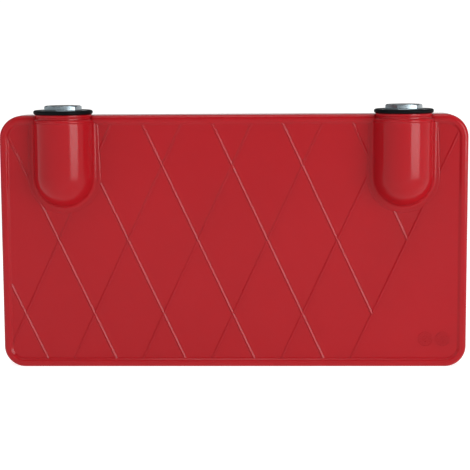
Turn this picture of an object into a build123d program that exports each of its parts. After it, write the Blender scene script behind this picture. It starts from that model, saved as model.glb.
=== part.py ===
from build123d import *
import os
from math import cos, radians, sin, sqrt, tan

# Water-filled flat panel tank, 600 x 327 x 44 mm, standing on its long edge.
# X runs along the panel, Y runs through it (the front, with the filler necks,
# faces -Y) and Z is up. The origin is the middle of the bottom edge, half way
# through the 44 mm thickness. All lengths are millimetres.

os.makedirs("parts", exist_ok=True)

# ---------------------------------------------------------------- dimensions
# panel envelope
PANEL_W = 600.0
PANEL_H = 327.0
PANEL_T = 44.0
TOP_R = 30.0             # upper corner radius of the outline
BOTTOM_R = 27.0          # lower corner radius of the outline
FRONT_Y = -PANEL_T / 2
REAR_Y = PANEL_T / 2
EDGE_R = 5.0             # rounding of the front outer edge
REAR_EDGE_R = 4.0        # rounding of the rear outer edge

# rim and recessed field
RIM_W = 11.0
RIM_CREST = 8.2          # inset where the slope up to the rim ends
RIM_FOOT = 11.8          # inset where it starts on the field
RIM_STEP = 2.5
FIELD_Y = FRONT_Y + RIM_STEP
REAR_FIELD_Y = REAR_Y - RIM_STEP
WALL = 3.2
JOINT_Y = 17.0           # plane where the rear shell is welded on
TONGUE_T = 2.0           # locating lip of the rear shell
TONGUE_L = 3.0

# diamond lattice of raised ribs
RIB_ANGLE = 25.0         # each rib leans this far from vertical
RIB_PITCH = 89.8         # along X, between neighbours of one family
RIB_MID_X = -46.5        # a crossing of the middle row
RIB_MID_Z = 165.6
RIB_W = 3.8
RIB_H = 0.9

# filler necks
NECK_X = 217.2
NECK_Y = FIELD_Y         # neck axis lies in the plane of the recessed field
NECK_R = 38.0
NECK_FILLET = 3.0        # sweep between the neck and the field
NECK_PAD_H = 0.6         # small step all round the foot of the neck
NECK_PAD_TOP = 44.0      # half width of that step at the shoulder
NECK_PAD_LOW = 47.0      # and at the rounded lower end
DOME_Z = 248.0           # centre of the rounded lower end
SHOULDER_Z = 322.6
SHOULDER_R = 3.0
GROOVE_R = 35.4
COLLAR_R = 36.3
COLLAR_Z0 = 325.2
COLLAR_Z1 = 328.6        # sealing face for the plug's ring
SOCKET_Z = 306.6         # ledge that carries the threaded insert
LEDGE_T = 3.0
LEDGE_R = 30.4
NECK_BACK_Y = REAR_FIELD_Y - WALL

# threaded insert, plug and rings (2 inch pipe thread, 2.309 mm pitch)
PITCH = 2.309
INSERT_R = 33.0
INSERT_BORE_R = 28.62
PLUG_CORE_R = 28.40
PLUG_CREST_R = 29.75
THREAD_GAP = 0.15        # radial clearance between crest and root
PLUG_LEN = 18.0          # threaded shank below the sealing face
SEAT_GAP = 0.05
FLANGE_R = 33.9
FLANGE_TOP = 333.4
HEX_AF = 43.0
HEX_TOP = 339.8
HEX_TURN_LEFT = 18.0     # rest angle of each hexagon about its own axis
HEX_TURN_RIGHT = 9.0
RING_MAJOR_R = 35.25
RING_MINOR_R = 2.75
RING_Z = COLLAR_Z1 + RING_MINOR_R
SEAL_MAJOR_R = 31.6
SEAL_MINOR_R = 1.35
SEAL_Z = 311.5

# kiss-off cones that tie the rear shell to the front wall
CONE_BASE_R = 15.0
CONE_TIP_R = 8.5


# ------------------------------------------------------------------- helpers
def outline(inset):
    """Rounded panel outline, drawn in from the silhouette by inset."""
    w = PANEL_W / 2 - inset
    lo, hi = inset, PANEL_H - inset
    rt, rb = TOP_R - inset, BOTTOM_R - inset
    edges = [
        Line((-w + rb, lo), (w - rb, lo)),
        CenterArc((w - rb, lo + rb), rb, -90, 90),
        Line((w, lo + rb), (w, hi - rt)),
        CenterArc((w - rt, hi - rt), rt, 0, 90),
        Line((w - rt, hi), (-w + rt, hi)),
        CenterArc((-w + rt, hi - rt), rt, 90, 90),
        Line((-w, hi - rt), (-w, lo + rb)),
        CenterArc((-w + rb, lo + rb), rb, 180, 90),
    ]
    return make_face(edges)


def slab(sketch, y0, y1):
    """Extrude an X-Z sketch from y0 to y1 (y0 < y1)."""
    return Pos(0, y1, 0) * extrude(Plane.XZ * sketch, amount=y1 - y0)


def tube_z(x, y, r, z0, z1):
    return Pos(x, y, z0) * Cylinder(r, z1 - z0, align=(Align.CENTER, Align.CENTER, Align.MIN))


def block(x0, x1, y0, y1, z0, z1):
    return Pos((x0 + x1) / 2, (y0 + y1) / 2, (z0 + z1) / 2) * Box(x1 - x0, y1 - y0, z1 - z0)


def neck_profile(radius, sweep_r, floor_y, side):
    """Half plan of a neck with its sweep down to the plane floor_y.

    The neck circle is centred on the axis at y = 0 here, the sweep arc is
    tangent to the circle and to the floor. side is +1 or -1.
    """
    cy = (FIELD_Y - NECK_FILLET) - NECK_Y
    cx = sqrt((NECK_R + NECK_FILLET) ** 2 - cy ** 2)
    k = radius / (NECK_R + NECK_FILLET)
    tangent = (side * cx * k, cy * k)
    foot = (side * cx, floor_y - NECK_Y)
    mid_dir = (-side * cx / (NECK_R + NECK_FILLET), 1 - cy / (NECK_R + NECK_FILLET))
    n = sqrt(mid_dir[0] ** 2 + mid_dir[1] ** 2)
    mid = (side * cx + sweep_r * mid_dir[0] / n, cy + sweep_r * mid_dir[1] / n)
    a = radians(45)
    return tangent, mid, foot, (side * radius * sin(a), -radius * cos(a))


def neck_solid(xc, radius, sweep_r, floor_y, back_y, top_z):
    """Neck bulge: straight part, rounded lower end and the sweep round both."""
    t, m, f, q = neck_profile(radius, sweep_r, floor_y, 1)
    back = back_y - NECK_Y
    half = make_face([
        Line((0, back), (f[0], back)),
        Line((f[0], back), f),
        ThreePointArc(f, m, t),
        ThreePointArc(t, q, (0, -radius)),
        Line((0, -radius), (0, back)),
    ])
    full = half + mirror(half, about=Plane.YZ)
    straight = Pos(xc, NECK_Y, DOME_Z) * extrude(full, amount=top_z - DOME_Z)
    dome = revolve(half, axis=Axis.Y, revolution_arc=360)
    dome = dome & block(-80, 80, -80, 80, -80, 0.0)
    return straight + Pos(xc, NECK_Y, DOME_Z) * dome


def rib(x_mid, lean, z_lo, z_hi):
    """One raised rib: a round-topped bead along a line leaning by lean."""
    r = (RIB_W ** 2 / 4 + RIB_H ** 2) / (2 * RIB_H)
    t = tan(radians(RIB_ANGLE)) * lean
    p0 = Vector(x_mid + (z_lo - RIB_MID_Z) * t, 0, z_lo)
    p1 = Vector(x_mid + (z_hi - RIB_MID_Z) * t, 0, z_hi)
    length = (p1 - p0).length
    bead = Cylinder(r, length, align=(Align.CENTER, Align.CENTER, Align.MIN))
    bead = Pos(0, FIELD_Y - RIB_H + r, 0) * bead
    angle = RIB_ANGLE * lean
    bead = Pos(p0.X, 0, p0.Z) * Rot(0, angle, 0) * bead
    return bead


def thread(r_root, r_tip, w_root, w_tip, z_start, turns):
    """Right-hand helical ridge of trapezoid section, its phase set by z_start."""
    path = Pos(0, 0, z_start) * Helix(pitch=PITCH, height=PITCH * turns, radius=r_root)
    sec = make_face(Polyline(
        (r_root - 0.3, 0, z_start - w_root / 2),
        (r_tip, 0, z_start - w_tip / 2),
        (r_tip, 0, z_start + w_tip / 2),
        (r_root - 0.3, 0, z_start + w_root / 2),
        close=True))
    return sweep(sec, path=path, is_frenet=True)


def revolved(points, xc, yc):
    """Solid of revolution about a vertical axis from (radius, z) points."""
    face = make_face(Polyline(*[(p[0], 0, p[1]) for p in points], close=True))
    return Pos(xc, yc, 0) * revolve(face, axis=Axis.Z, revolution_arc=360)


def recess(side):
    """Tool for the recessed field on one face, its edge sloping up to the rim."""
    lo = Plane(origin=(0, side * (PANEL_T / 2 - RIM_STEP), 0), x_dir=(1, 0, 0), z_dir=(0, -1, 0)) * outline(RIM_FOOT)
    hi = Plane(origin=(0, side * (PANEL_T / 2 + 0.001), 0), x_dir=(1, 0, 0), z_dir=(0, -1, 0)) * outline(RIM_CREST)
    return loft([lo, hi], ruled=True)


# --------------------------------------------------------------- front shell
NECKS = {"left": -NECK_X, "right": NECK_X}

tray = slab(outline(0), FRONT_Y, JOINT_Y)
tray = fillet(tray.faces().sort_by(Axis.Y)[0].edges(), EDGE_R)

field_cut = recess(-1)
tray = tray - field_cut
step_edges = [e for e in tray.edges()
              if abs(e.center().Y - FRONT_Y) < 0.01
              and abs(e.center().X) < PANEL_W / 2 - RIM_CREST + 0.5
              and RIM_CREST - 0.5 < e.center().Z < PANEL_H - RIM_CREST + 0.5]
tray = fillet(step_edges, 2.0)

cavity = slab(outline(WALL), FIELD_Y + WALL, JOINT_Y + 2)
cavity = fillet(cavity.faces().sort_by(Axis.Y)[0].edges(), 3.0)
tray = tray - cavity

# necks, solid first
neck_outer = []
for xc in NECKS.values():
    body = neck_solid(xc, NECK_R, NECK_FILLET, FIELD_Y, FIELD_Y + 1.0, SHOULDER_Z)
    # the top shoulder falls away round the neck
    lip = revolved([
        (NECK_R - SHOULDER_R, SHOULDER_Z), (NECK_R - 0.9, SHOULDER_Z - 0.9),
        (NECK_R, SHOULDER_Z - SHOULDER_R), (NECK_R + 14, SHOULDER_Z - SHOULDER_R - 6),
        (NECK_R + 14, SHOULDER_Z + 4), (NECK_R - SHOULDER_R, SHOULDER_Z + 4)], xc, NECK_Y)
    lip = lip & block(xc - 60, xc + 60, -80, FRONT_Y - 0.2, 300, 340)
    neck_outer.append(body - lip)

# small step all round the foot of each neck
pads = []
for xc in NECKS.values():
    rise = SHOULDER_Z - DOME_Z
    pad = Plane.XZ * (Pos(xc, DOME_Z) * make_face([
        Line((-NECK_PAD_LOW, 0), (-NECK_PAD_TOP, rise)),
        Line((-NECK_PAD_TOP, rise), (NECK_PAD_TOP, rise)),
        Line((NECK_PAD_TOP, rise), (NECK_PAD_LOW, 0)),
        ThreePointArc((NECK_PAD_LOW, 0), (0, -NECK_PAD_LOW), (-NECK_PAD_LOW, 0)),
    ]))
    pads.append(Pos(0, FIELD_Y + 0.5, 0) * extrude(pad, amount=NECK_PAD_H + 0.5))

# ribs, stopped at the rim and at the necks; the lower right corner is plain
t25 = tan(radians(RIB_ANGLE))
x_at = [RIB_MID_X + k * RIB_PITCH for k in range(-3, 4)]
half_step = RIB_PITCH / 2 / t25
falling = [(x_at[0], 2, 320), (x_at[1], 2, 320), (x_at[2], 2, 320), (x_at[3], 2, 325),
           (x_at[4], 2, 325), (x_at[5], RIB_MID_Z - half_step, 325), (x_at[6], RIB_MID_Z, 325)]
rising = [(x_at[1], 2, 325), (x_at[2], 2, 325), (x_at[3], 2, 325),
          (x_at[4], 2, 325), (x_at[5], 2, 325), (x_at[6], 2, 325)]
field_zone = slab(outline(RIM_W - 0.6), FIELD_Y - RIB_H - 0.1, FIELD_Y + 0.6)
beads = None
for xm, z0, z1 in falling:
    b = rib(xm, -1, z0, z1)
    beads = b if beads is None else beads + b
for xm, z0, z1 in rising:
    beads = beads + rib(xm, 1, z0, z1)
beads = beads & field_zone
for p in pads:
    beads = beads - p

# two plain moulding dials in the lower right corner, no lettering
DIAL_X = (247.0, 269.5)
DIAL_Z = 36.0
DIAL_R = 9.6
DIAL_H = 0.6
dial_sketch = None
for i, dx in enumerate(DIAL_X):
    ring = Circle(DIAL_R) - Circle(DIAL_R - 1.1)
    hub = Circle(4.2)
    slot = Rot(0, 0, -35 + 80 * i) * (Rectangle(1.1, 5.0) + Pos(0, 2.0) * RegularPolygon(1.5, 3, rotation=90))
    s = ring + (hub - slot)
    for k in range(12):
        s = s + Rot(0, 0, 30 * k) * (Pos(0, 6.4) * Rectangle(0.8, 1.5))
    s = Pos(dx, DIAL_Z) * s
    dial_sketch = s if dial_sketch is None else dial_sketch + s
dials = Pos(0, FIELD_Y + 0.4, 0) * extrude(Plane.XZ * dial_sketch, amount=DIAL_H + 0.4)

# wedge-shaped gate stub on the right end
stub = Pos(0, 14, 0) * extrude(Plane.XZ * make_face(Polyline(
    (PANEL_W / 2 - 0.6, 197.2), (PANEL_W / 2 + 0.2, 197.2), (PANEL_W / 2 + 2.3, 186.0),
    (PANEL_W / 2 + 2.3, 184.0), (PANEL_W / 2 - 0.6, 184.0), close=True)), amount=9)

front = tray + beads
for n, p in zip(neck_outer, pads):
    front = front + n + p
front = front + dials + stub

for xc in NECKS.values():
    # groove, collar and the socket round the insert
    collar = tube_z(xc, NECK_Y, GROOVE_R, SOCKET_Z - LEDGE_T, COLLAR_Z1)
    collar = collar + fillet(tube_z(xc, NECK_Y, COLLAR_R, COLLAR_Z0, COLLAR_Z1).edges().filter_by(GeomType.CIRCLE), 0.7)
    collar = collar + tube_z(xc, NECK_Y, NECK_R - 0.4, SOCKET_Z - LEDGE_T, SHOULDER_Z - 4)
    collar = collar & block(xc - 60, xc + 60, -80, NECK_BACK_Y, 290, 335)
    front = front + collar

for xc in NECKS.values():
    hollow = neck_solid(xc, NECK_R - WALL, NECK_FILLET + WALL, FIELD_Y + WALL,
                        FIELD_Y + WALL + 0.5, SOCKET_Z - LEDGE_T)
    front = front - hollow
    front = front - tube_z(xc, NECK_Y, LEDGE_R, SOCKET_Z - LEDGE_T - 1, COLLAR_Z1 + 5)
    front = front - tube_z(xc, NECK_Y, INSERT_R, SOCKET_Z, COLLAR_Z1 + 5)

print("front", front.is_valid, len(front.solids()), round(front.volume))

# ---------------------------------------------------------------- rear shell
rear = slab(outline(0), JOINT_Y, REAR_Y)
rear = fillet(rear.faces().sort_by(Axis.Y)[-1].edges(), REAR_EDGE_R)
rear = rear - recess(1)
inner = slab(outline(WALL), NECK_BACK_Y, JOINT_Y)
rear = rear + inner
tongue = slab(outline(WALL), JOINT_Y - TONGUE_L, NECK_BACK_Y) - slab(
    outline(WALL + TONGUE_T), JOINT_Y - TONGUE_L - 1, NECK_BACK_Y + 1)
for xc in NECKS.values():
    tongue = tongue - tube_z(xc, NECK_Y, NECK_R + 0.2, 290, 340)
rear = rear + tongue

cone_spots = []
for k, z in ((-1, RIB_MID_Z + half_step), (0, RIB_MID_Z), (1, RIB_MID_Z - half_step)):
    shift = 0 if k == 0 else RIB_PITCH / 2
    for n in range(-4, 5):
        x = RIB_MID_X + n * RIB_PITCH + shift
        if abs(x) > 262:
            continue
        if k == -1 and abs(x) > 140:
            continue
        cone_spots.append((x, z))
tip_y = FIELD_Y + WALL
base_y = NECK_BACK_Y
cone_out = make_face(Polyline((0, tip_y), (CONE_TIP_R, tip_y), (CONE_BASE_R, base_y + 0.5), (0, base_y + 0.5), close=True))
cone_in = make_face(Polyline((0, tip_y + WALL), (CONE_TIP_R - WALL, tip_y + WALL),
                             (CONE_BASE_R - WALL + 0.6, REAR_FIELD_Y), (CONE_BASE_R - WALL + 0.6, REAR_FIELD_Y + 1),
                             (0, REAR_FIELD_Y + 1), close=True))
cone_out = revolve(cone_out, axis=Axis.Y, revolution_arc=360)
cone_in = revolve(cone_in, axis=Axis.Y, revolution_arc=360)
for x, z in cone_spots:
    rear = rear + Pos(x, 0, z) * cone_out
for x, z in cone_spots:
    rear = rear - Pos(x, 0, z) * cone_in
# soft mouths and bottoms in the cones, soft inner corner of the rim
mouths = [e for e in rear.edges().filter_by(GeomType.CIRCLE)
          if abs(e.center().Y - REAR_FIELD_Y) < 0.01 and e.radius < CONE_BASE_R]
rear = fillet(mouths, 2.2)
bottoms = [e for e in rear.edges().filter_by(GeomType.CIRCLE)
           if abs(e.center().Y - tip_y - WALL) < 0.01 and e.radius < CONE_TIP_R]
rear = fillet(bottoms, 1.6)
rim_edges = [e for e in rear.edges()
             if abs(e.center().Y - REAR_Y) < 0.01
             and abs(e.center().X) < PANEL_W / 2 - RIM_CREST + 0.5
             and RIM_CREST - 0.5 < e.center().Z < PANEL_H - RIM_CREST + 0.5]
rear = fillet(rim_edges, 2.0)
print("rear", rear.is_valid, len(rear.solids()), round(rear.volume), "cones", len(cone_spots))

export_step(front, "parts/front_shell.step")
export_step(rear, "parts/rear_shell.step")

# ------------------------------------------- inserts, seals, plugs and rings
for side, xc in NECKS.items():
    # threaded insert, held in its socket by shallow pockets round the outside
    insert = tube_z(0, 0, INSERT_R, SOCKET_Z, COLLAR_Z1) - tube_z(0, 0, INSERT_BORE_R, SOCKET_Z - 1, COLLAR_Z1 + 1)
    cut = thread(INSERT_BORE_R, PLUG_CREST_R + THREAD_GAP, 2.15, 0.85, COLLAR_Z1 - 11 * PITCH, 11.5)
    uncut = insert.volume
    insert = insert - cut
    lead_in = revolved([(INSERT_BORE_R - 1, COLLAR_Z1 - 1.6), (INSERT_BORE_R, COLLAR_Z1 - 1.6),
                        (PLUG_CREST_R + 0.4, COLLAR_Z1 + 0.2), (INSERT_BORE_R - 1, COLLAR_Z1 + 0.2)], 0, 0)
    insert = insert - lead_in
    groove = Pos(0, 0, SEAL_Z) * Torus(SEAL_MAJOR_R, SEAL_MINOR_R)
    insert = insert - groove
    for k in range(12):
        a = radians(30 * k)
        insert = insert - tube_z(34.6 * cos(a), 34.6 * sin(a), 3.0, 315.0, 324.0)
    print(side, "insert", insert.is_valid, len(insert.solids()), round(insert.volume), "thread cut", round(uncut - insert.volume))
    export_step(Pos(xc, NECK_Y, 0) * insert, "parts/%s_neck_insert.step" % side)

    seal = (Pos(0, 0, SEAL_Z) * Torus(SEAL_MAJOR_R, SEAL_MINOR_R)) & tube_z(0, 0, INSERT_R, 300, 330)
    export_step(Pos(xc, NECK_Y, 0) * seal, "parts/%s_insert_seal.step" % side)

    # plug: hollow shank, flange grooved for its ring, hexagon head
    z0 = COLLAR_Z1 + SEAT_GAP
    plug = revolved([
        (0, z0 - 3.0), (24.0, z0 - 3.0), (24.0, z0 - PLUG_LEN), (PLUG_CORE_R - 0.9, z0 - PLUG_LEN),
        (PLUG_CORE_R, z0 - PLUG_LEN + 0.9), (PLUG_CORE_R, z0), (FLANGE_R - 0.4, z0),
        (FLANGE_R, z0 + 0.4), (FLANGE_R, FLANGE_TOP - 0.7), (FLANGE_R - 0.7, FLANGE_TOP), (0, FLANGE_TOP)], 0, 0)
    ridge = thread(PLUG_CORE_R, PLUG_CREST_R, 1.95, 0.55, COLLAR_Z1 - 7 * PITCH, 5.6)
    plug = plug + ridge
    plug = plug - Pos(0, 0, RING_Z) * Torus(RING_MAJOR_R, RING_MINOR_R + 0.05)
    turn = HEX_TURN_LEFT if side == "left" else HEX_TURN_RIGHT
    head = Pos(0, 0, FLANGE_TOP - 0.5) * extrude(
        Rot(0, 0, turn - 90 + 30) * RegularPolygon(HEX_AF / 2, 6, major_radius=False), amount=HEX_TOP - FLANGE_TOP + 0.5)
    crown = revolved([(0, FLANGE_TOP - 1), (HEX_AF / 2 / cos(radians(30)) + 0.1, FLANGE_TOP - 1),
                      (HEX_AF / 2 / cos(radians(30)) + 0.1, HEX_TOP - 1.5), (HEX_AF / 2 - 0.2, HEX_TOP), (0, HEX_TOP)], 0, 0)
    plug = plug + (head & crown)
    print(side, "plug", plug.is_valid, len(plug.solids()), round(plug.volume))
    export_step(Pos(xc, NECK_Y, 0) * plug, "parts/%s_plug.step" % side)

    ring = Pos(xc, NECK_Y, RING_Z) * Torus(RING_MAJOR_R, RING_MINOR_R)
    export_step(ring, "parts/%s_plug_ring.step" % side)

print("thread lead", PITCH, "mm a turn")
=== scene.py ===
import bpy
import bmesh
import math
import random
import numpy as np
from mathutils import Vector, Matrix


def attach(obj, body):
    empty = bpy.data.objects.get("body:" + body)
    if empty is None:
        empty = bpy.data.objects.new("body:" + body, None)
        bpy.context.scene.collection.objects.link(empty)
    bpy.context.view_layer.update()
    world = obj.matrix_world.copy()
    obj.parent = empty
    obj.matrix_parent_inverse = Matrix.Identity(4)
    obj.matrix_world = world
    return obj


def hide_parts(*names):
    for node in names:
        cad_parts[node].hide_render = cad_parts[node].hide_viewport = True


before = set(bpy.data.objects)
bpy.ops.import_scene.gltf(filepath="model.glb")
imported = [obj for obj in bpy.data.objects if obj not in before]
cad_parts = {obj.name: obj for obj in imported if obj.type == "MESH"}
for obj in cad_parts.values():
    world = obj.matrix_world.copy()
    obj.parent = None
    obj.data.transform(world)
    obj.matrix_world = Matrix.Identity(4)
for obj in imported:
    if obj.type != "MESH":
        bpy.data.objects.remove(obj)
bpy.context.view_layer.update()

random.seed(7)
MM = 0.001

# ------------------------------------------------------------------ sizes (mm)
W, H = 600.0, 327.0
FRONT, REAR = -22.0, 22.0
FIELD, RFIELD = -19.5, 19.5
RT, RB = 30.0, 27.0
JOINT = 17.0
WALL = 3.2
RIMW = 11.0
NX, NY = 217.2, -19.5
NR, NF = 38.0, 5.0
DOME_Z = 248.0
SHO_Z, SHO_R = 322.6, 3.0
PAD_H = 0.6
COL_TOP = 328.6
PITCH = 2.309
RIB_T = math.tan(math.radians(25.0))
RIB_P, RIB_X, RIB_Z = 89.8, -46.5, 165.6



# --------------------------------------------------------------- mesh helpers
def new_mesh(name, verts, faces, smooth_angle=40.0):
    me = bpy.data.meshes.new(name)
    me.from_pydata([tuple(v) for v in (np.asarray(verts, float) * MM)], [], [tuple(int(i) for i in f) for f in faces])
    me.validate()
    bm = bmesh.new()
    bm.from_mesh(me)
    bmesh.ops.remove_doubles(bm, verts=bm.verts, dist=2e-6)
    bmesh.ops.dissolve_degenerate(bm, dist=1e-6, edges=bm.edges)
    bmesh.ops.recalc_face_normals(bm, faces=bm.faces)
    ang = math.radians(smooth_angle)
    for f in bm.faces:
        f.smooth = True
    for e in bm.edges:
        if len(e.link_faces) == 2:
            e.smooth = e.calc_face_angle(0.0) < ang
    bm.to_mesh(me)
    bm.free()
    ob = bpy.data.objects.new(name, me)
    bpy.context.scene.collection.objects.link(ob)
    return ob


def join(obs, name):
    """Joins objects into the first, keeping every closed shell."""
    bm = bmesh.new()
    for o in obs:
        bm.from_mesh(o.data)
    me = bpy.data.meshes.new(name)
    bm.to_mesh(me)
    bm.free()
    ob = bpy.data.objects.new(name, me)
    bpy.context.scene.collection.objects.link(ob)
    for o in obs:
        bpy.data.objects.remove(o, do_unlink=True)
    return ob


def boolean(ob, cutter, op="DIFFERENCE"):
    m = ob.modifiers.new("b", "BOOLEAN")
    m.operation = op
    m.solver = "EXACT"
    m.object = cutter
    dg = bpy.context.evaluated_depsgraph_get()
    dg.update()
    me = bpy.data.meshes.new_from_object(ob.evaluated_get(dg))
    ob.modifiers.clear()
    old = ob.data
    ob.data = me
    bpy.data.meshes.remove(old)
    bpy.data.objects.remove(cutter, do_unlink=True)
    return ob


def grid_faces(n, m, wrap_n=False, wrap_m=False, base=0, flip=False):
    fs = []
    for i in range(n if wrap_n else n - 1):
        for j in range(m if wrap_m else m - 1):
            a = i * m + j
            b = ((i + 1) % n) * m + j
            c = ((i + 1) % n) * m + (j + 1) % m
            d = i * m + (j + 1) % m
            f = (a + base, b + base, c + base, d + base)
            fs.append(f[::-1] if flip else f)
    return fs


def lathe(name, profile, xc, yc, seg=96, closed=True, angle=35.0, clamp_y=None):
    """Surface of revolution about a vertical axis from (radius, z) points, closed loop."""
    prof = np.array(profile, float)
    th = np.linspace(0, 2 * np.pi, seg, endpoint=False)
    v = []
    for r, z in prof:
        v += [(xc + r * math.cos(t), yc + r * math.sin(t), z) for t in th]
    v = np.array(v)
    if clamp_y is not None:
        v[:, 1] = np.minimum(v[:, 1], clamp_y)
    return new_mesh(name, v, grid_faces(len(prof), seg, wrap_n=closed, wrap_m=True), angle)


def arc(cx, cy, r, a0, a1, n):
    """Points of an arc, angles in degrees."""
    return [(cx + r * math.cos(math.radians(a)), cy + r * math.sin(math.radians(a)))
            for a in np.linspace(a0, a1, n)]


def wave(x, z):
    """Slow unevenness of the moulded face, a few hundredths of a millimetre."""
    return (0.055 * np.sin(x / 47.0 + 0.9) * np.cos(z / 39.0 - 0.4)
            + 0.035 * np.sin(x / 21.0 - z / 33.0 + 1.3) + 0.02 * np.cos(x / 13.0 + z / 11.0))


# ---------------------------------------------------- panel shells by outline
NC, MX, MZ = 7, 96, 48          # cells in a corner, along X and along Z


def place(i, j, d, full=None):
    """Point of the rounded outline grid at inset d; full is not used."""
    I, J = 2 * NC + MX, 2 * NC + MZ
    w = W / 2 - d
    # corner centres are fixed; radii shrink with the inset
    left, right = i < NC, i > NC + MX
    low, high = j < NC, j > NC + MZ
    a = (NC - i) / NC if left else ((i - NC - MX) / NC if right else 0.0)
    b = (NC - j) / NC if low else ((j - NC - MZ) / NC if high else 0.0)
    zc_b, zc_t = RB, H - RT
    tz = min(max((j - NC) / MZ, 0.0), 1.0)
    rc = RB + (RT - RB) * tz        # corner radius met at this height
    zc = zc_b + (zc_t - zc_b) * tz
    tx = min(max((i - NC) / MX, 0.0), 1.0)
    xl, xr = -W / 2 + rc, W / 2 - rc
    xc = xl + (xr - xl) * tx
    r = rc - d
    sx = -1.0 if left else 1.0
    sz = -1.0 if low else 1.0
    if a > 0 and b > 0:
        s = max(a, b)
        if a >= b:
            t = math.radians(45.0 * b / a)
        else:
            t = math.radians(90.0 - 45.0 * a / b)
        return xc + sx * r * s * math.cos(t), zc + sz * r * s * math.sin(t)
    return xc + (sx * r * a if a > 0 else 0.0), zc + (sz * r * b if b > 0 else 0.0)


I_MAX, J_MAX = 2 * NC + MX, 2 * NC + MZ
LOOP = ([(i, 0) for i in range(I_MAX)] + [(I_MAX, j) for j in range(J_MAX)]
        + [(i, J_MAX) for i in range(I_MAX, 0, -1)] + [(0, j) for j in range(J_MAX, 0, -1)])


def tray_mesh(name, rings, d_out, y_out, d_in, y_in, wavy_out=True):
    """Closed tray: outer face grid, rings of (inset, y) round to the inner face grid."""
    v, f = [], []

    def face_grid(d, y, wavy):
        base = len(v)
        for i in range(I_MAX + 1):
            for j in range(J_MAX + 1):
                x, z = place(i, j, d)
                edge = min(1.0, max(0.0, (min(W / 2 - abs(x), z, H - z) - d) / 12.0))
                v.append((x, y + (wave(x, z) * edge if wavy else 0.0), z))
        return base

    b0 = face_grid(d_out, y_out, wavy_out)
    idx = lambda base, i, j: base + i * (J_MAX + 1) + j
    f += grid_faces(I_MAX + 1, J_MAX + 1, base=b0)
    prev = [idx(b0, i, j) for i, j in LOOP]
    n = len(LOOP)
    for d, y in rings:
        cur = []
        for i, j in LOOP:
            x, z = place(i, j, d)
            cur.append(len(v))
            v.append((x, y, z))
        f += [(prev[k], cur[k], cur[(k + 1) % n], prev[(k + 1) % n]) for k in range(n)]
        prev = cur
    b1 = face_grid(d_in, y_in, wavy_out)
    f += grid_faces(I_MAX + 1, J_MAX + 1, base=b1, flip=True)
    cur = [idx(b1, i, j) for i, j in LOOP]
    f += [(prev[k], cur[k], cur[(k + 1) % n], prev[(k + 1) % n]) for k in range(n)]
    return new_mesh(name, v, f, 38.0)


def s_step(d0, y0, d1, y1, n=7):
    """Soft step from (d0, y0) to (d1, y1), level at both ends."""
    out = []
    for k in range(n):
        t = k / (n - 1)
        s = t * t * t * (t * (6 * t - 15) + 10)
        out.append((d0 + (d1 - d0) * t, y0 + (y1 - y0) * s))
    return out


front_rings = (
    [(14.5, FIELD), (13.2, FIELD)]
    + s_step(12.8, FIELD, 7.2, FRONT + 0.02, 14)
    + [(6.6, FRONT), (5.8, FRONT)]
    + arc(5.0, FRONT + 5.0, 5.0, -90, -180, 10)
    + [(0.0, y) for y in (-12.0, -6.0, 0.0, 6.0, 11.0, 14.0)]
    + [(0.0, JOINT - 0.45), (0.12, JOINT - 0.16), (0.42, JOINT), (WALL - 0.2, JOINT), (WALL, JOINT - 0.2)]
    + [(WALL, y) for y in (11.0, 0.0, -8.0)]
    + [(WALL + 3 - q[0], q[1]) for q in arc(0.0, FIELD + WALL + 3.0, 3.0, 0, -90, 5)]
    + [(12.0, FIELD + WALL)])
panel = tray_mesh("panel", front_rings, 16.0, FIELD, 16.0, FIELD + WALL)


# --------------------------------------------------------------- filler necks
def foot_half(extra=0.0):
    return math.sqrt((NR + NF) ** 2 - NF ** 2) + extra


def pad_half(z):
    """Half width of the low pad round a neck, tapering a little towards the top."""
    return 47.0 - 3.0 * max(0.0, z - DOME_Z) / (SHO_Z - DOME_Z)


def neck_half_profile(e, inner=False, nf=NF):
    """Right half of the neck's plan, from the middle of the nose to the foot.

    e draws the surface in from the outside. Points are (x, y) from the axis.
    """
    R = NR - e
    rf = nf + e
    cy = -(nf + PAD_H)
    cx = math.sqrt((NR + nf) ** 2 - cy ** 2)
    t_ang = math.degrees(math.atan2(cy, cx))          # direction of the tangent point
    pts = [(R * math.cos(math.radians(a)), R * math.sin(math.radians(a)))
           for a in np.linspace(-90.0, t_ang, 26)]
    floor = -PAD_H if not inner else e - 0.3
    # sweep arc, from the tangent point to the pad
    a0 = 180.0 + t_ang
    up = (floor - cy) / rf
    a1 = math.degrees(math.asin(max(-1.0, min(1.0, up))))
    a1 = 180.0 - a1 if a1 > 0 else 180.0 - a1
    pts += [(cx + rf * math.cos(math.radians(a)), cy + rf * math.sin(math.radians(a)))
            for a in np.linspace(a0, a1, 12)[1:]]
    return pts


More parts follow.
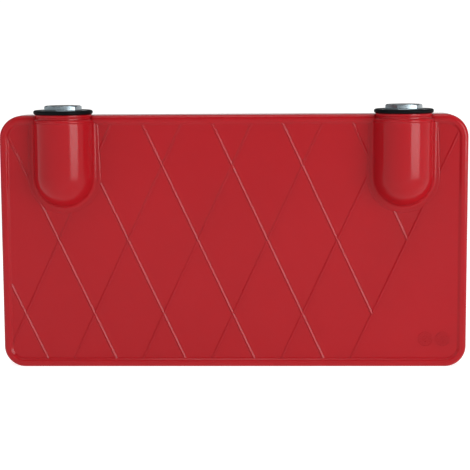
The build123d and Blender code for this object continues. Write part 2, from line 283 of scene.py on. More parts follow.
def neck_mesh(name, xc):
    # top stations: rounded shoulder
    tops = [(SHO_Z - SHO_R + SHO_R * math.sin(math.radians(a)), SHO_R * (1 - math.cos(math.radians(a))))
            for a in np.linspace(90, 0, 9)]
    # fine line under the shoulder
    tops += [(319.1, 0.0), (318.6, 0.03), (318.3, 0.30), (317.95, 0.42), (317.6, 0.30), (317.3, 0.02)]
    outer, inner = [], []
    def station(e, inner_side, z=DOME_Z, nf=NF):
        p = neck_half_profile(e + (WALL if inner_side else 0.0), inner_side, nf)
        fh = pad_half(z)
        if not inner_side:
            last = p[-1][0]
            p = p + [(last + (fh - 1.2 - last) * 0.5, -PAD_H), (fh - 1.2, -PAD_H), (fh - 1.0, -PAD_H + 0.05),
                     (fh - 0.15, -0.12), (fh, 0.0), (fh, 0.9)]
        else:
            p = p + [(fh - 1.2, WALL - 0.35)]
        return p
    v, f = [], []
    def add_surface(inner_side):
        k = len(station(0.0, inner_side))
        rows = []
        zs = [(z, e) for z, e in tops] if not inner_side else [(303.0, 0.0)]
        z_first = zs[-1][0]
        zs += [(z, 0.0) for z in np.linspace(z_first, DOME_Z, 16)[1:]]
        base = len(v)
        ids = []
        for z, e in zs:
            p = station(e, inner_side, z)
            row = []
            for x, y in p[::-1]:
                row.append(len(v)); v.append((xc - x, NY + y, z))
            for x, y in p[1:]:
                row.append(len(v)); v.append((xc + x, NY + y, z))
            ids.append(row)
        m = len(ids[0])
        for a in range(len(ids) - 1):
            for b in range(m - 1):
                f.append((ids[a][b], ids[a][b + 1], ids[a + 1][b + 1], ids[a + 1][b]))
        # rounded lower end: turn the right half about the axis through the dome centre
        p = station(0.0, inner_side)
        last_right = ids[-1][k - 1:]
        last_left = ids[-1][:k][::-1]
        prev = last_right
        nphi = 40
        for q in range(1, nphi + 1):
            ph = math.pi * q / nphi
            if q == nphi:
                cur = last_left
            else:
                cur = [last_right[0]]
                # the sweep into the pad is broader under the dome
                p = station(0.0, inner_side, DOME_Z, NF + 2.6 * math.sin(ph) ** 2)
                for x, y in p[1:]:
                    cur.append(len(v)); v.append((xc + x * math.cos(ph), NY + y, DOME_Z - x * math.sin(ph)))
            for b in range(k - 1):
                if b == 0:
                    f.append((prev[0], prev[1], cur[1]))
                else:
                    f.append((prev[b], prev[b + 1], cur[b + 1], cur[b]))
            prev = cur
        # border loop of this surface: top row, and foot chain
        top = ids[0]
        left_foot = [r[0] for r in ids]
        right_foot = [r[-1] for r in ids]
        return top, left_foot, right_foot, m
    out_top, out_lf, out_rf, mo = add_surface(False)
    n_out = len(v)
    in_top, in_lf, in_rf, mi = add_surface(True)
    ob = new_mesh(name, v, f, 30.0)
    # close the open border (foot and top) with filled strips
    bm = bmesh.new()
    bm.from_mesh(ob.data)
    edges = [e for e in bm.edges if len(e.link_faces) == 1]
    bmesh.ops.bridge_loops(bm, edges=edges)
    bmesh.ops.recalc_face_normals(bm, faces=bm.faces)
    for fc in bm.faces:
        fc.smooth = True
    for e in bm.edges:
        if len(e.link_faces) == 2:
            e.smooth = e.calc_face_angle(0.0) < math.radians(30)
    bm.to_mesh(ob.data)
    bm.free()
    return ob


def collar_mesh(name, xc):
    prof = ([(35.4, 305.0), (35.4, 323.6), (35.32, 324.6)]
            + [(35.4 + 0.75 * (1 - math.cos(math.radians(a))), 324.75 + 0.5 * math.sin(math.radians(a))) for a in (30, 60, 90)]
            + arc(35.5, 326.1, 0.8, -60, 0, 4) + arc(35.4, 327.7, 0.9, 0, 90, 7)
            + [(34.6, COL_TOP), (33.5, COL_TOP), (33.2, COL_TOP - 0.08), (33.0, COL_TOP - 0.3),
               (33.0, 306.6), (30.9, 306.6), (30.4, 306.1), (30.4, 304.1), (30.9, 303.6),
               (34.8, 303.6)])
    return lathe(name, prof, xc, NY, 112, True, 35.0, clamp_y=16.25)


def footprint_cutter(name, xc, r, y0, y1, z_top):
    """Prism with a rounded lower end, the shape of a neck's foot."""
    pts = [(xc + r * math.cos(a), DOME_Z + r * math.sin(a)) for a in np.linspace(-math.pi, 0, 49)]
    pts = [(xc - r, z_top)] + pts + [(xc + r, z_top)]
    n = len(pts)
    v = [(x, y0, z) for x, z in pts] + [(x, y1, z) for x, z in pts]
    f = [tuple(range(n)), tuple(range(2 * n - 1, n - 1, -1))] + [(k, (k + 1) % n, (k + 1) % n + n, k + n) for k in range(n)]
    return new_mesh(name, v, f, 30.0)


def round_cutter(name, xc, r, z0, z1):
    return lathe(name, [(0.001, z0), (r, z0), (r, z1), (0.001, z1)], xc, NY, 96, True, 30.0)


shells = []
for s, xc in (("l", -NX), ("r", NX)):
    panel = boolean(panel, footprint_cutter("c1" + s, xc, 42.4, FIELD - 4, FIELD + WALL + 5, 306.0))
    panel = boolean(panel, round_cutter("c2" + s, xc, 35.0, 300.0, 335.0))
    shells.append(neck_mesh("neck_" + s, xc))
    shells.append(collar_mesh("collar_" + s, xc))


# ----------------------------------------------------------------------- ribs
def in_foot(x, z, inset):
    """Whether a point lies inside a neck's pad, drawn in by inset."""
    for xc in (-NX, NX):
        if z > DOME_Z:
            if abs(x - xc) < pad_half(z) - inset:
                return True
        elif math.hypot(x - xc, z - DOME_Z) < pad_half(z) - inset:
            return True
    return False


def in_field(x, z, d):
    ax = abs(x)
    w = W / 2 - d
    if ax > w or z < d or z > H - d:
        return False
    for zc, r in ((RB, RB), (H - RT, RT)):
        cx = W / 2 - r
        if ax > cx and ((zc == RB and z < zc) or (zc != RB and z > zc)):
            return math.hypot(ax - cx, z - zc) < r - d
    return True


def rib_meshes():
    xs = [RIB_X + k * RIB_P for k in range(-3, 4)]
    half = RIB_P / 2 / RIB_T
    falling = [(xs[0], 2, 325), (xs[1], 2, 325), (xs[2], 2, 325), (xs[3], 2, 325), (xs[4], 2, 325),
               (xs[5], RIB_Z - half, 325), (xs[6], RIB_Z, 325)]
    rising = [(xs[k], 2, 325) for k in range(1, 7)]
    out = []
    hw, hh = 1.9, 0.9
    us = np.array([-1.0, -0.86, -0.7, -0.55, -0.42, -0.3, -0.2, -0.1, 0.0, 0.1, 0.2, 0.3, 0.42, 0.55, 0.7, 0.86, 1.0])
    rr = 0.16
    hs = hh * (1 - (np.sqrt(us ** 2 + rr ** 2) - rr) / (math.sqrt(1 + rr ** 2) - rr))
    nprof = len(us)
    for kind, lst in ((-1, falling), (1, rising)):
        for q, (xm, z0, z1) in enumerate(lst):
            t = RIB_T * kind
            L = (z1 - z0) / math.cos(math.radians(25))
            n = int(L / 1.2)
            ss = np.linspace(0, 1, n + 1)
            run, runs = [], []
            for s in ss:
                z = z0 + (z1 - z0) * s
                x = xm + (z - RIB_Z) * t
                ok = in_field(x, z, RIMW - 0.8) and not in_foot(x, z, 0.7)
                if ok:
                    run.append((x, z))
                elif run:
                    runs.append(run); run = []
            if run:
                runs.append(run)
            dx, dz = t, 1.0
            ln = math.hypot(dx, dz)
            nx_, nz_ = dz / ln, -dx / ln       # across the rib
            for run in runs:
                if len(run) < 3:
                    continue
                v, f = [], []
                for x, z in run:
                    # a little unevenness along the bead
                    k = 1.0 + 0.05 * math.sin(x * 0.11 + q) + 0.03 * math.sin(z * 0.27)
                    for u, h in zip(us, hs * (0.62 if kind > 0 else 1.0)):
                        px, pz = x + nx_ * u * hw, z + nz_ * u * hw
                        v.append((px, FIELD + float(wave(px, pz)) + 0.03 - h * k, pz))
                    v.append((x + nx_ * hw, FIELD + 1.2, z + nz_ * hw))
                    v.append((x - nx_ * hw, FIELD + 1.2, z - nz_ * hw))
                m = nprof + 2
                f = grid_faces(len(run), m, wrap_m=True)
                f.append(tuple(range(m)))
                f.append(tuple((len(run) - 1) * m + k for k in range(m))[::-1])
                out.append(new_mesh("rib", v, f, 50.0))
    return out


ribs = rib_meshes()


# ------------------------------------------------------- plain moulding dials
def plate(name, pts, y_top, y_bot, bevel=0.16):
    """Low raised plate from an outline in X-Z, its upper edge bevelled."""
    n = len(pts)
    c = np.mean(pts, axis=0)
    P = np.array(pts)
    nxt, prv = np.roll(P, -1, 0), np.roll(P, 1, 0)
    d1 = (P - prv); d1 /= np.linalg.norm(d1, axis=1)[:, None] + 1e-9
    d2 = (nxt - P); d2 /= np.linalg.norm(d2, axis=1)[:, None] + 1e-9
    nn = np.stack([-(d1 + d2)[:, 1], (d1 + d2)[:, 0]], 1)
    nn /= np.linalg.norm(nn, axis=1)[:, None] + 1e-9
    area = 0.5 * np.sum(P[:, 0] * nxt[:, 1] - nxt[:, 0] * P[:, 1])
    if area < 0:
        nn = -nn
    inn = P + nn * bevel
    v = [(x, y_bot, z) for x, z in P] + [(x, y_top + bevel, z) for x, z in P] + [(x, y_top, z) for x, z in inn]
    f = [tuple(range(n - 1, -1, -1)), tuple(range(2 * n, 3 * n))]
    for a in (0, 1):
        f += [(a * n + k, a * n + (k + 1) % n, (a + 1) * n + (k + 1) % n, (a + 1) * n + k) for k in range(n)]
    return new_mesh(name, v, f, 25.0)


def ring_plate(name, cx, cz, r0, r1, y_top, y_bot, seg=64, b=0.16):
    prof = [(r1, y_bot), (r1, y_top + b), (r1 - b, y_top), (r0 + b, y_top), (r0, y_top + b), (r0, y_bot)]
    v, f = [], []
    for r, y in prof:
        v += [(cx + r * math.cos(t), y, cz + r * math.sin(t)) for t in np.linspace(0, 2 * math.pi, seg, endpoint=False)]
    return new_mesh(name, v, grid_faces(len(prof), seg, wrap_n=True, wrap_m=True), 25.0)


dials = []
for n_d, dx in enumerate((247.0, 269.5)):
    yt, yb = FIELD - 0.6, FIELD + 0.5
    dials.append(ring_plate("dial_ring", dx, 36.0, 8.5, 9.6, yt, yb))
    dials.append(ring_plate("dial_hub", dx, 36.0, 2.9, 4.2, yt, yb, 40))
    for k in range(12):
        a = math.radians(30 * k + 90)
        ca, sa = math.cos(a), math.sin(a)
        c = (dx + 6.4 * ca, 36.0 + 6.4 * sa)
        hx, hz = 0.42, 0.78
        pts = [(c[0] + p * sa + q * ca, c[1] - p * ca + q * sa) for p, q in ((-hx, -hz), (hx, -hz), (hx, hz), (-hx, hz))]
        dials.append(plate("dial_tick", pts, yt, yb, 0.12))
    a = math.radians(90 - 35 + 80 * n_d)
    ca, sa = math.cos(a), math.sin(a)
    arrow = [(-0.45, -2.3), (0.45, -2.3), (0.45, 0.3), (1.3, 0.3), (0.0, 2.3), (-1.3, 0.3), (-0.45, 0.3)]
    dials.append(plate("dial_arrow", [(dx + p * sa + q * ca, 36.0 - p * ca + q * sa) for p, q in arrow], yt, yb, 0.12))


# ---------------------------------------------------------------- gate stub
def stub_mesh():
    prof = [(W / 2 - 1.0, 197.6), (W / 2 + 0.1, 197.4), (W / 2 + 0.6, 195.4), (W / 2 + 2.0, 187.0), (W / 2 + 2.25, 185.4),
            (W / 2 + 2.15, 184.4), (W / 2 + 1.8, 184.05), (W / 2 - 1.0, 184.0)]
    ys = [(5.0, 0.5), (5.25, 0.12), (5.7, 0.0), (13.3, 0.0), (13.75, 0.12), (14.0, 0.5)]
    v, f = [], []
    cz = 189.0
    for y, e in ys:
        for x, z in prof:
            xx = x - e * (0.8 if x > W / 2 else 0.0)
            zz = z + (cz - z) / 8.0 * e
            v.append((xx, y, zz))
    m = len(prof)
    f = grid_faces(len(ys), m, wrap_m=True)
    f.append(tuple(range(m)))
    f.append(tuple((len(ys) - 1) * m + k for k in range(m))[::-1])
    return new_mesh("stub", v, f, 40.0)


front = join([panel] + shells + ribs + dials + [stub_mesh()], "front_moulding")


# ---------------------------------------------------------------- rear shell
rear_rings = (
    [(14.5, RFIELD), (13.2, RFIELD)]
    + s_step(12.9, RFIELD, 10.3, REAR - 0.05, 10)
    + [(9.0, REAR), (7.4, REAR), (5.4, REAR)]
    + [(4.0 + q[0], q[1]) for q in arc(0.0, REAR - 4.0, 4.0, 90, 180, 9)]
    + [(0.0, JOINT + 0.45), (0.12, JOINT + 0.16), (0.42, JOINT), (WALL, JOINT)]
    + [(WALL, JOINT - 3.0), (WALL + 2.0, JOINT - 3.0), (WALL + 2.0, RFIELD - WALL), (12.0, RFIELD - WALL)])
back = tray_mesh("back_panel", rear_rings, 16.0, RFIELD, 16.0, RFIELD - WALL)


def cone_spots():
    half = RIB_P / 2 / RIB_T
    out = []
    for k, z in ((-1, RIB_Z + half), (0, RIB_Z), (1, RIB_Z - half)):
        shift = 0 if k == 0 else RIB_P / 2
        for n in range(-4, 5):
            x = RIB_X + n * RIB_P + shift
            if abs(x) > 262 or (k == -1 and abs(x) > 140):
                continue
            out.append((x, z))
    return out


def cone_mesh(x, z):
    """Tack-off cone: hollow, with a soft mouth on the rear face."""
    tip = FIELD + WALL
    ri_tip, ri_mouth = 8.5 - WALL, 15.0 - WALL + 0.6
    y0, y1 = tip + WALL, RFIELD
    sl = math.atan2(ri_mouth - ri_tip, y1 - y0)
    prof = [(0.02, y0)]
    # soft inner bottom, straight flank, soft mouth, then down the outside
    c = 1.8
    prof += [(ri_tip - 1.9, y0), (ri_tip - 0.9, y0 + 0.14), (ri_tip - 0.25, y0 + 0.6), (ri_tip + 0.12, y0 + 1.3)]
    for t in np.linspace(0.1, 0.9, 9):
        prof.append((ri_tip + (ri_mouth - ri_tip) * t, y0 + (y1 - y0) * t))
    prof += [(ri_mouth - 0.25, y1 - 1.5), (ri_mouth + 0.1, y1 - 0.75), (ri_mouth + 0.7, y1 - 0.26), (ri_mouth + 1.5, y1 - 0.03),
             (ri_mouth + 2.4, y1 + 0.02), (ri_mouth + 2.4, y1 - 1.5), (15.0, RFIELD - WALL), (8.5, tip), (0.02, tip)]
    seg = 48
    v = []
    for r, y in prof:
        v += [(x + r * math.cos(t), y, z + r * math.sin(t)) for t in np.linspace(0, 2 * math.pi, seg, endpoint=False)]
    return new_mesh("cone", v, grid_faces(len(prof), seg, wrap_n=True, wrap_m=True), 40.0)


def disc_cutter(x, z, r, y0, y1):
    pts = [(x + r * math.cos(t), z + r * math.sin(t)) for t in np.linspace(0, 2 * math.pi, 48, endpoint=False)]
    n = len(pts)
    v = [(a, y0, b) for a, b in pts] + [(a, y1, b) for a, b in pts]
    f = [tuple(range(n)), tuple(range(2 * n - 1, n - 1, -1))] + [(k, (k + 1) % n, (k + 1) % n + n, k + n) for k in range(n)]
    return new_mesh("disc", v, f, 30.0)


cutters = [disc_cutter(x, z, 13.6, RFIELD - 6, RFIELD + 3) for x, z in cone_spots()]
back = boolean(back, join(cutters, "cut_all"))
for s, xc in (("l", -NX), ("r", NX)):
    back = boolean(back, round_cutter("c3" + s, xc, 38.2, 290.0, 323.9))
rear = join([back] + [cone_mesh(x, z) for x, z in cone_spots()], "rear_moulding")


# ----------------------------------------------------- threads, plug, insert
def thread_radius(z, th, phase_z, core, crest, w_root, w_tip):
    """Radius of a right-hand thread at height z and angle th."""
    u = (z - phase_z) / PITCH - th / (2 * np.pi)
    d = np.abs((u + 0.5) % 1.0 - 0.5) * PITCH      # distance from the ridge's middle
    t = np.clip((w_root / 2 - d) / (w_root / 2 - w_tip / 2), 0, 1)
    t = t * t * (3 - 2 * t) * 0.35 + t * 0.65
    return core + (crest - core) * t


def plug_mesh(name, xc, turn):
    z0 = COL_TOP + 0.05
    seg = 120
    th = np.linspace(0, 2 * np.pi, seg, endpoint=False)
    rows = []
    def ring(r, z):
        rr = np.full(seg, r) if np.isscalar(r) else r
        rows.append(np.stack([xc + rr * np.cos(th), NY + rr * np.sin(th), np.full(seg, z)], 1))
    # hollow underside
    for r, z in [(0.02, z0 - 3.0), (12.0, z0 - 3.0), (22.4, z0 - 3.0), (23.4, z0 - 3.25), (24.0, z0 - 4.2), (24.0, z0 - 10), (24.0, z0 - 17.6),
                 (24.3, z0 - 17.9), (24.6, z0 - 18.0), (27.2, z0 - 18.0), (27.6, z0 - 17.85)]:
        ring(r, z)
    za, zb = z0 - 17.6, z0 - 1.6
    phase = COL_TOP - 7 * PITCH
    for z in np.arange(za, zb + 0.01, 0.165):
        r = thread_radius(z, th, phase, 28.40, 29.72, 1.95, 0.55)
        # run-in and run-out of the ridge
        fade = np.clip((z - phase + 1.2 - th / (2 * np.pi) * PITCH) / 0.9, 0, 1) * np.clip((zb - 0.4 - z) / 1.2, 0, 1)
        r = 28.40 + (r - 28.40) * fade
        cham = np.clip((z - (z0 - 17.6)) / 0.6, 0, 1)
        r = np.minimum(r, 27.9 + 1.9 * cham)
        ring(r, z)
    # flange with its ring groove
    for r, z in [(28.3, z0 - 1.1), (28.3, z0 - 0.25), (28.55, z0), (31.6, z0), (32.4, z0 + 0.04), (32.7, z0 + 0.45)]:
        ring(r, z)
    rc, zc, rr_ = 35.25, COL_TOP + 2.75, 2.80
    a_lo = math.degrees(math.asin((z0 + 0.75 - zc) / rr_))
    for a in np.linspace(180 - a_lo, 180 - math.degrees(math.asin((332.95 - zc) / rr_)), 12):
        ring(rc + rr_ * math.cos(math.radians(a)), zc + rr_ * math.sin(math.radians(a)))
    ring(33.72, 333.02); ring(33.62, 333.22); ring(33.3, 333.36); ring(32.8, 333.4)
    ring(31.0, 333.4); ring(28.5, 333.38); ring(26.2, 333.4)
    # hexagon head, its foot swept into the flange
    R6 = 21.5
    ap = np.radians(turn)
    ang = (th - (-np.pi / 2) - ap + np.pi / 6) % (np.pi / 3) - np.pi / 6
    hexr = R6 / np.cos(ang)
    # worn corners and slightly crowned flats
    hexr = np.minimum(hexr, 24.55)
    crown = 0.45 * (1 - (np.abs(ang) / (np.pi / 6)) ** 2)
    hexr = hexr + crown - 0.30
    for k, (g, z) in enumerate([(1.6, 333.42), (0.85, 333.5), (0.35, 333.75), (0.1, 334.15), (0.0, 334.7), (0.0, 336.0), (0.0, 337.4), (0.0, 338.1)]):
        ring(hexr + g, z)
    for z, lim in [(338.4, 24.4), (338.75, 23.8), (339.1, 23.2), (339.4, 22.6), (339.62, 22.1)]:
        ring(np.minimum(hexr, lim), z)
    ring(np.minimum(hexr, 21.4), 339.78)
    ring(20.8, 339.8); ring(17.5, 339.78); ring(15.2, 339.7); ring(14.4, 339.45); ring(13.6, 339.38); ring(8.0, 339.36); ring(0.02, 339.36)
    v = np.concatenate(rows)
    f = grid_faces(len(rows), seg, wrap_m=True)
    n = len(rows)
    f.append(tuple(range(seg))[::-1])
    f.append(tuple((n - 1) * seg + k for k in range(seg)))
    return new_mesh(name, v, f, 33.0)


def insert_mesh(name, xc):
    seg = 120
    th = np.linspace(0, 2 * np.pi, seg, endpoint=False)
    rows = []
    def ring(r, z):
        rr = np.full(seg, r) if np.isscalar(r) else r
        rows.append(np.stack([xc + rr * np.cos(th), NY + rr * np.sin(th), np.full(seg, z)], 1))
    phase = COL_TOP - 11 * PITCH
    ring(29.4, 306.6)
    for z in np.arange(306.9, 327.2, 0.2):
        r = thread_radius(z, th, phase, 28.64, 29.92, 2.15, 0.85)
        ring(r, z)
    for r, z in [(29.95, 327.3), (30.15, 327.9), (30.35, 328.35), (30.7, 328.55), (31.2, 328.6), (32.3, 328.6), (32.8, 328.5), (33.0, 328.2),
                 (33.0, 324.0)]:
        ring(r, z)
    for z in (323.8, 320.0, 316.0):
        ring(33.0 - 0.55 * (0.5 + 0.5 * np.cos(th * 60)), z)
    for r, z in [(33.0, 315.4), (33.0, 313.0), (31.9, 312.6), (30.6, 311.9), (30.6, 311.1), (31.9, 310.4), (33.0, 310.0), (33.0, 307.0), (32.6, 306.6)]:
        ring(r, z)
    v = np.concatenate(rows)
    return new_mesh(name, v, grid_faces(len(rows), seg, wrap_n=True, wrap_m=True), 33.0)


def ring_mesh(name, xc):
    """Sealing ring, pressed a little flat where it bears, with a fine flash line."""
    seg, m = 128, 36
    v = []
    for t in np.linspace(0, 2 * math.pi, seg, endpoint=False):
        for a in np.linspace(0, 2 * math.pi, m, endpoint=False):
            r = 2.72
            flash = 0.03 * math.exp(-(math.sin(a) / 0.07) ** 2) if math.cos(a) > 0 else 0.0
            x = (r + flash) * math.cos(a)
            z = r * math.sin(a)
            z = max(z, -2.62)
            R = 35.25 + x
            v.append((xc + R * math.cos(t), NY + R * math.sin(t), COL_TOP + 2.75 + z))
    return new_mesh(name, v, grid_faces(seg, m, wrap_n=True, wrap_m=True), 60.0)


pieces = {}
for side, xc, turn in (("left", -NX, 18.0), ("right", NX, 9.0)):
    pieces[side + "_plug_turned"] = (plug_mesh(side + "_plug_turned", xc, turn), side + "_plug_body", side + "_plug")
    pieces[side + "_sealing_ring"] = (ring_mesh(side + "_sealing_ring", xc), side + "_ring_carrier", side + "_plug_ring")
    pieces[side + "_threaded_bush"] = (insert_mesh(side + "_threaded_bush", xc), "tank", side + "_neck_insert")


# ------------------------------------------------------------------ materials
def nodes_of(name):
    m = bpy.data.materials.new(name)
    m.use_nodes = True
    nt = m.node_tree
    return m, nt, nt.nodes["Principled BSDF"]


def N(nt, kind, **kw):
    n = nt.nodes.new(kind)
    for k, val in kw.items():
        setattr(n, k, val)
    return n


def ramp(nt, src, stops, interp="LINEAR"):
    r = N(nt, "ShaderNodeValToRGB")
    r.color_ramp.interpolation = interp
    els = r.color_ramp.elements
    while len(els) < len(stops):
        els.new(0.5)
    for e, (p, c) in zip(els, stops):
        e.position = p
        e.color = (*c, 1.0) if len(c) == 3 else c
    nt.links.new(src, r.inputs[0])
    return r.outputs[0]


def noise(nt, vec, scale, detail=3.0, rough=0.5, dist=0.0):
    n = N(nt, "ShaderNodeTexNoise")
    n.inputs["Scale"].default_value = scale
    n.inputs["Detail"].default_value = detail
    n.inputs["Roughness"].default_value = rough
    n.inputs["Distortion"].default_value = dist
    if vec is not None:
        nt.links.new(vec, n.inputs["Vector"])
    return n.outputs["Fac"]


def math_node(nt, op, a, b=None, clamp=False):
    n = N(nt, "ShaderNodeMath", operation=op, use_clamp=clamp)
    for k, val in enumerate((a, b)):
        if val is None:
            continue
        if isinstance(val, (int, float)):
            n.inputs[k].default_value = val
        else:
            nt.links.new(val, n.inputs[k])
    return n.outputs[0]


def mix_col(nt, fac, a, b, blend="MIX"):
    n = N(nt, "ShaderNodeMix", data_type="RGBA", blend_type=blend)
    for idx, val in ((0, fac), (6, a), (7, b)):
        if isinstance(val, (int, float)):
            n.inputs[idx].default_value = val
        elif isinstance(val, tuple):
            n.inputs[idx].default_value = (*val, 1.0)
        else:
            nt.links.new(val, n.inputs[idx])
    return n.outputs[2]


def bump(nt, height, strength, dist, normal=None):
    b = N(nt, "ShaderNodeBump")
    b.inputs["Strength"].default_value = strength
    b.inputs["Distance"].default_value = dist
    nt.links.new(height, b.inputs["Height"])
    if normal is not None:
        nt.links.new(normal, b.inputs["Normal"])
    return b.outputs[0]


def obj_coord(nt, scale=(1, 1, 1)):
    tc = N(nt, "ShaderNodeTexCoord")
    mp = N(nt, "ShaderNodeMapping")
    mp.inputs["Scale"].default_value = scale
    nt.links.new(tc.outputs["Object"], mp.inputs["Vector"])
    return mp.outputs[0]


def red_plastic():
    m, nt, b = nodes_of("moulded_red_plastic")
    v = obj_coord(nt)
    broad = noise(nt, v, 7.0, 3.0, 0.55)
    cloud = noise(nt, v, 42.0, 4.0, 0.6)
    fine = noise(nt, v, 900.0, 2.0, 0.5)
    col = ramp(nt, broad, [(0.30, (0.290, 0.0048, 0.0086)), (0.70, (0.312, 0.0056, 0.0098))])
    col = mix_col(nt, math_node(nt, "MULTIPLY", ramp(nt, cloud, [(0.45, (0, 0, 0)), (0.8, (1, 1, 1))]), 0.16), col, (0.275, 0.0044, 0.0078))
    # faint scuffs: long thin streaks, and rubbed specks
    vs = obj_coord(nt, (16.0, 16.0, 150.0))
    streak = ramp(nt, noise(nt, vs, 5.0, 5.0, 0.62, 0.6), [(0.66, (0, 0, 0)), (0.74, (1, 1, 1))])
    vs2 = obj_coord(nt, (140.0, 20.0, 22.0))
    streak2 = ramp(nt, noise(nt, vs2, 4.0, 5.0, 0.6, 0.8), [(0.68, (0, 0, 0)), (0.76, (1, 1, 1))])
    scuff = math_node(nt, "MAXIMUM", streak, streak2)
    col = mix_col(nt, math_node(nt, "MULTIPLY", scuff, 0.05), col, (0.55, 0.06, 0.06))
    nt.links.new(col, b.inputs["Base Color"])
    rough = math_node(nt, "ADD", math_node(nt, "MULTIPLY", broad, 0.06), 0.085)
    rough = math_node(nt, "ADD", rough, math_node(nt, "MULTIPLY", cloud, 0.05))
    rough = math_node(nt, "ADD", rough, math_node(nt, "MULTIPLY", scuff, 0.08))
    nt.links.new(rough, b.inputs["Roughness"])
    h1 = bump(nt, noise(nt, v, 130.0, 2.0, 0.5), 0.10, 0.0006)
    h2 = bump(nt, fine, 0.05, 0.0002, h1)
    h3 = bump(nt, scuff, 0.04, 0.0001, h2)
    nt.links.new(h3, b.inputs["Normal"])
    b.inputs["IOR"].default_value = 1.50
    b.inputs["Specular IOR Level"].default_value = 0.16
    b.inputs["Subsurface Weight"].default_value = 0.35
    b.inputs["Subsurface Radius"].default_value = (1.0, 0.25, 0.2)
    b.inputs["Subsurface Scale"].default_value = 0.004
    return m


def zinc_steel():
    m, nt, b = nodes_of("zinc_plated_steel")
    v = obj_coord(nt)
    cloud = noise(nt, v, 60.0, 5.0, 0.6)
    vr = obj_coord(nt, (60.0, 60.0, 900.0))
    lines = noise(nt, vr, 2.0, 4.0, 0.6)
    col = ramp(nt, cloud, [(0.3, (0.13, 0.165, 0.185)), (0.7, (0.22, 0.26, 0.28))])
    spots = ramp(nt, noise(nt, v, 260.0, 3.0, 0.6), [(0.62, (0, 0, 0)), (0.75, (1, 1, 1))])
    col = mix_col(nt, math_node(nt, "MULTIPLY", spots, 0.35), col, (0.09, 0.12, 0.135))
    nt.links.new(col, b.inputs["Base Color"])
    rough = math_node(nt, "ADD", math_node(nt, "MULTIPLY", cloud, 0.10), 0.10)
    rough = math_node(nt, "ADD", rough, math_node(nt, "MULTIPLY", lines, 0.08))
    rough = math_node(nt, "ADD", rough, math_node(nt, "MULTIPLY", spots, 0.12))
    nt.links.new(rough, b.inputs["Roughness"])
    b.inputs["Metallic"].default_value = 1.0
    h = bump(nt, lines, 0.12, 0.0001)
    h = bump(nt, noise(nt, v, 520.0, 3.0, 0.6), 0.10, 0.0001, h)
    nt.links.new(h, b.inputs["Normal"])
    return m


def brass():
    m, nt, b = nodes_of("turned_brass")
    v = obj_coord(nt)
    cloud = noise(nt, v, 80.0, 4.0, 0.6)
    lines = noise(nt, obj_coord(nt, (40.0, 40.0, 1600.0)), 1.5, 3.0, 0.6)
    col = ramp(nt, cloud, [(0.3, (0.52, 0.35, 0.12)), (0.7, (0.78, 0.58, 0.26))])
    nt.links.new(col, b.inputs["Base Color"])
    rough = math_node(nt, "ADD", math_node(nt, "MULTIPLY", cloud, 0.18), 0.18)
    rough = math_node(nt, "ADD", rough, math_node(nt, "MULTIPLY", lines, 0.10))
    nt.links.new(rough, b.inputs["Roughness"])
    b.inputs["Metallic"].default_value = 1.0
    nt.links.new(bump(nt, lines, 0.15, 0.0001), b.inputs["Normal"])
    return m


def rubber():
    m, nt, b = nodes_of("black_epdm_rubber")
    v = obj_coord(nt)
    cloud = noise(nt, v, 120.0, 5.0, 0.65)
    dust = ramp(nt, noise(nt, v, 700.0, 4.0, 0.7), [(0.60, (0, 0, 0)), (0.78, (1, 1, 1))])
    col = ramp(nt, cloud, [(0.3, (0.0012, 0.0018, 0.0026)), (0.7, (0.0034, 0.0044, 0.0052))])
    col = mix_col(nt, math_node(nt, "MULTIPLY", dust, 0.05), col, (0.04, 0.04, 0.04))
    nt.links.new(col, b.inputs["Base Color"])
    rough = math_node(nt, "ADD", math_node(nt, "MULTIPLY", cloud, 0.25), 0.30)
    nt.links.new(rough, b.inputs["Roughness"])
    nt.links.new(bump(nt, noise(nt, v, 1500.0, 3.0, 0.6), 0.12, 0.0001), b.inputs["Normal"])
    b.inputs["Specular IOR Level"].default_value = 0.05
    return m


RED, ZINC, BRASS, RUBBER = red_plastic(), zinc_steel(), brass(), rubber()


def dress(ob, mat):
    ob.data.materials.clear()
    ob.data.materials.append(mat)
    for p in ob.data.polygons:
        p.material_index = 0


dress(front, RED)
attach(front, "tank"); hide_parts("front_shell")
dress(rear, RED)
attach(rear, "tank"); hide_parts("rear_shell")
for nm, (ob, body, node) in pieces.items():
    if "plug" in nm:
        dress(ob, ZINC)
    elif "ring" in nm:
        dress(ob, RUBBER)
    else:
        dress(ob, BRASS)
    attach(ob, body)
    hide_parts(node)
for nm in ("left_insert_seal", "right_insert_seal"):
    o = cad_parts[nm]
    for s in o.material_slots:
        s.material = RUBBER


# ------------------------------------------------------------------- the stage
def stage_floor():
    me = bpy.data.meshes.new("floor")
    s = 45.0
    me.from_pydata([(-s, -s, 0), (s, -s, 0), (s, s, 0), (-s, s, 0)], [], [(0, 1, 2, 3)])
    ob = bpy.data.objects.new("floor", me)
    bpy.context.scene.collection.objects.link(ob)
    m, nt, b = nodes_of("pale_floor")
    b.inputs["Base Color"].default_value = (0.55, 0.55, 0.55, 1)
    b.inputs["Roughness"].default_value = 0.9
    b.inputs["Specular IOR Level"].default_value = 0.1
    b.inputs["Emission Color"].default_value = (1, 1, 1, 1)
    b.inputs["Emission Strength"].default_value = 0.80
    me.materials.append(m)


stage_floor()

world = bpy.data.worlds.new("studio")
bpy.context.scene.world = world
world.use_nodes = True
wn = world.node_tree
bg = wn.nodes["Background"]
tc = wn.nodes.new("ShaderNodeTexCoord")
sep = wn.nodes.new("ShaderNodeSeparateXYZ")
wn.links.new(tc.outputs["Generated"], sep.inputs[0])
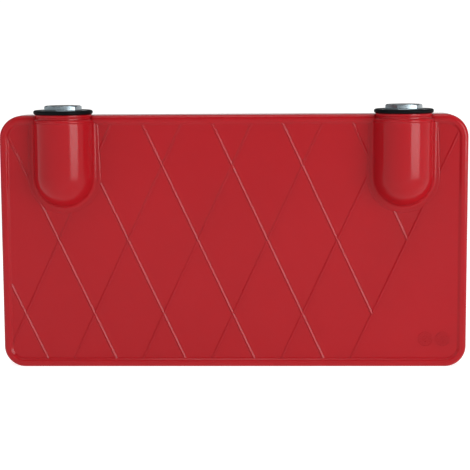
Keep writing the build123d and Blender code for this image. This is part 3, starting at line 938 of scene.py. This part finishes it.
# white at the horizon, dim above it, bright again overhead
sky = wn.nodes.new("ShaderNodeValToRGB")
sky.color_ramp.interpolation = "EASE"
els = sky.color_ramp.elements
while len(els) < 5:
    els.new(0.5)
for e, (p, c) in zip(els, [(0.0, 0.80), (0.037, 0.80), (0.075, 0.12), (0.45, 0.20), (0.85, 0.60)]):
    e.position = p
    e.color = (c, c, c, 1.0)
wn.links.new(sep.outputs["Z"], sky.inputs[0])
wn.links.new(sky.outputs[0], bg.inputs["Color"])
bg.inputs["Strength"].default_value = 1.35


def area(name, loc, target, sx, sy, power, col=(1, 1, 1)):
    li = bpy.data.lights.new(name, "AREA")
    li.shape = "RECTANGLE"
    li.size, li.size_y = sx, sy
    li.energy = power
    li.color = col
    ob = bpy.data.objects.new(name, li)
    bpy.context.scene.collection.objects.link(ob)
    ob.location = loc
    d = Vector(target) - Vector(loc)
    ob.rotation_euler = d.to_track_quat("-Z", "Y").to_euler()
    return ob


# tall softbox at the right, weak fill at the left, soft light from above
area("key_right", (1.86, -1.90, 0.60), (0.0, 0.0, 0.25), 1.60, 1.15, 45.5)
area("fill_left", (-1.9, -1.9, 1.2), (-0.1, 0.0, 0.2), 1.6, 1.6, 13.0)
area("overhead", (0.2, -0.5, 2.2), (0.0, 0.0, 0.15), 1.4, 1.0, 14.0)

# ------------------------------------------------------------------ the camera
cam_d = bpy.data.cameras.new("camera")
cam = bpy.data.objects.new("camera", cam_d)
bpy.context.scene.collection.objects.link(cam)
yaw, pitch, roll = math.radians(-1.491), math.radians(7.183), math.radians(-0.327)
fwd = Vector((math.sin(yaw) * math.cos(pitch), math.cos(yaw) * math.cos(pitch), -math.sin(pitch)))
rgt = Vector((math.cos(yaw), -math.sin(yaw), 0))
up = rgt.cross(fwd)
r2 = math.cos(roll) * rgt + math.sin(roll) * up
u2 = -math.sin(roll) * rgt + math.cos(roll) * up
rot = Matrix((r2, u2, -fwd)).transposed()
cam.rotation_mode = "QUATERNION"
cam.rotation_quaternion = rot.to_quaternion()
cam.location = (0.0507, -1.9019, 0.4099)
cam_d.sensor_width = 36.0
cam_d.lens = 1473.9 * 36.0 / 470.0
cam_d.clip_start, cam_d.clip_end = 0.05, 50.0
cam_d.dof.use_dof = False
bpy.context.scene.camera = cam
bpy.context.scene.view_settings.view_transform = "Standard"
bpy.context.scene.view_settings.look = "None"
